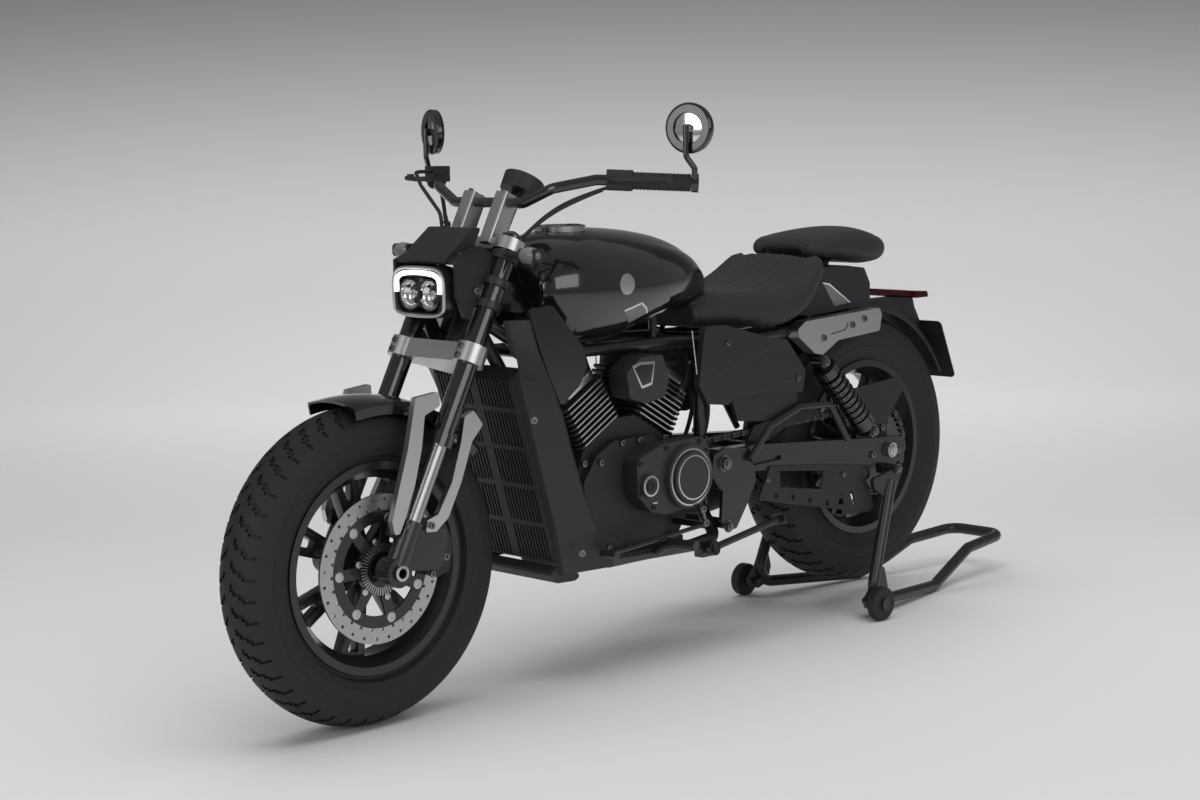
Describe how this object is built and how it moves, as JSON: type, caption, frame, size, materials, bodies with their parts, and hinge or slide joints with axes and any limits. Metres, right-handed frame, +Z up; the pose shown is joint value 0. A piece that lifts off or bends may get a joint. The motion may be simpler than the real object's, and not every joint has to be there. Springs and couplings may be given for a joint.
{
  "type": "cruiser motorcycle on a paddock stand",
  "caption": "Cruiser motorcycle with a V-twin engine, single front disc and round bar-end mirrors, held upright by the swingarm spools on a tubular rear paddock stand.",
  "frame": {"origin": "on the floor, on the middle plane, halfway between the front of the front tyre and the rear of the stand handle", "axes": "+X forward, +Y to the rider's left, +Z up"},
  "size_m": [2.4169, 0.8898, 1.227],
  "materials": {
    "gloss_black": "gloss",
    "satin_charcoal": "satin",
    "matte_black": "matte",
    "polished": "polished",
    "cast_silver": "satin",
    "engine_black": "matte",
    "chrome": "polished",
    "steel": "satin",
    "wheel_black": "satin",
    "tyre": "matte",
    "seat_leather": "satin",
    "rubber": "matte",
    "lamp": "clear",
    "red_lens": "gloss",
    "black_plastic": "gloss"
  },
  "bodies": {
    "chassis": {"drive_chain": "steel", "main_frame": "gloss_black", "crankcase": "engine_black", "cylinders": "engine_black", "engine_covers": "satin_charcoal", "radiator": "matte_black", "radiator_shroud": "satin_charcoal", "side_fairings": "satin_charcoal", "fuel_tank": "gloss_black", "fuel_cap": "chrome", "tank_panels": "satin_charcoal", "rider_seat": "seat_leather", "pillion_seat": "seat_leather", "side_covers": "satin_charcoal", "tail_cover": "gloss_black", "tail_brackets": "polished", "rear_fender": "matte_black", "tail_lamp": "red_lens", "swingarm": "gloss_black", "rear_axle": "steel", "rear_shocks": "gloss_black", "chain_guards": "satin_charcoal", "rear_calliper": "matte_black", "foot_controls": "gloss_black", "exhaust": "matte_black", "paddock_stand": "gloss_black"},
    "front_end": {"clamps": "polished", "fork_tubes": "gloss_black", "fork_lowers": "satin_charcoal", "front_calliper": "matte_black", "front_fender": "gloss_black", "fender_stays": "polished", "headlight": "lamp", "headlight_bracket": "satin_charcoal", "front_indicators": "black_plastic", "handlebar": "gloss_black", "hand_controls": "rubber", "mirrors": "polished", "instrument": "black_plastic", "brake_hose": "rubber"},
    "front_wheel": {"front_tyre": "tyre", "front_rim": "wheel_black", "front_disc": "steel"},
    "rear_wheel": {"rear_tyre": "tyre", "rear_rim": "wheel_black", "rear_sprocket": "steel", "rear_disc": "steel"},
    "side_stand": {"side_stand": "gloss_black"},
    "stand_wheel_left": {"stand_wheel_left": "rubber"},
    "stand_wheel_right": {"stand_wheel_right": "rubber"}
  },
  "joints": [
    {"name": "steering", "type": "hinge", "parent": "chassis", "child": "front_end", "pos_m": [0.84559, 0, 0.30222], "axis": [-0.4617, 0, 0.887], "range_deg": [-34, 34]},
    {"name": "front_wheel_spin", "type": "hinge", "parent": "front_end", "child": "front_wheel", "pos_m": [0.8855, 0, 0.323], "axis": [0, 1, 0], "continuous": true},
    {"name": "rear_wheel_spin", "type": "hinge", "parent": "chassis", "child": "rear_wheel", "pos_m": [-0.6345, 0, 0.389], "axis": [0, 1, 0], "continuous": true},
    {"name": "side_stand_swing", "type": "hinge", "parent": "chassis", "child": "side_stand", "pos_m": [0.0215, 0.16, 0.247], "axis": [0, 0.9781, 0.2079], "range_deg": [-118, 0]},
    {"name": "stand_wheel_left_spin", "type": "hinge", "parent": "chassis", "child": "stand_wheel_left", "pos_m": [-0.5045, 0.217, 0.04], "axis": [0, 1, 0], "continuous": true},
    {"name": "stand_wheel_right_spin", "type": "hinge", "parent": "chassis", "child": "stand_wheel_right", "pos_m": [-0.5045, -0.217, 0.04], "axis": [0, 1, 0], "continuous": true}
  ]
}
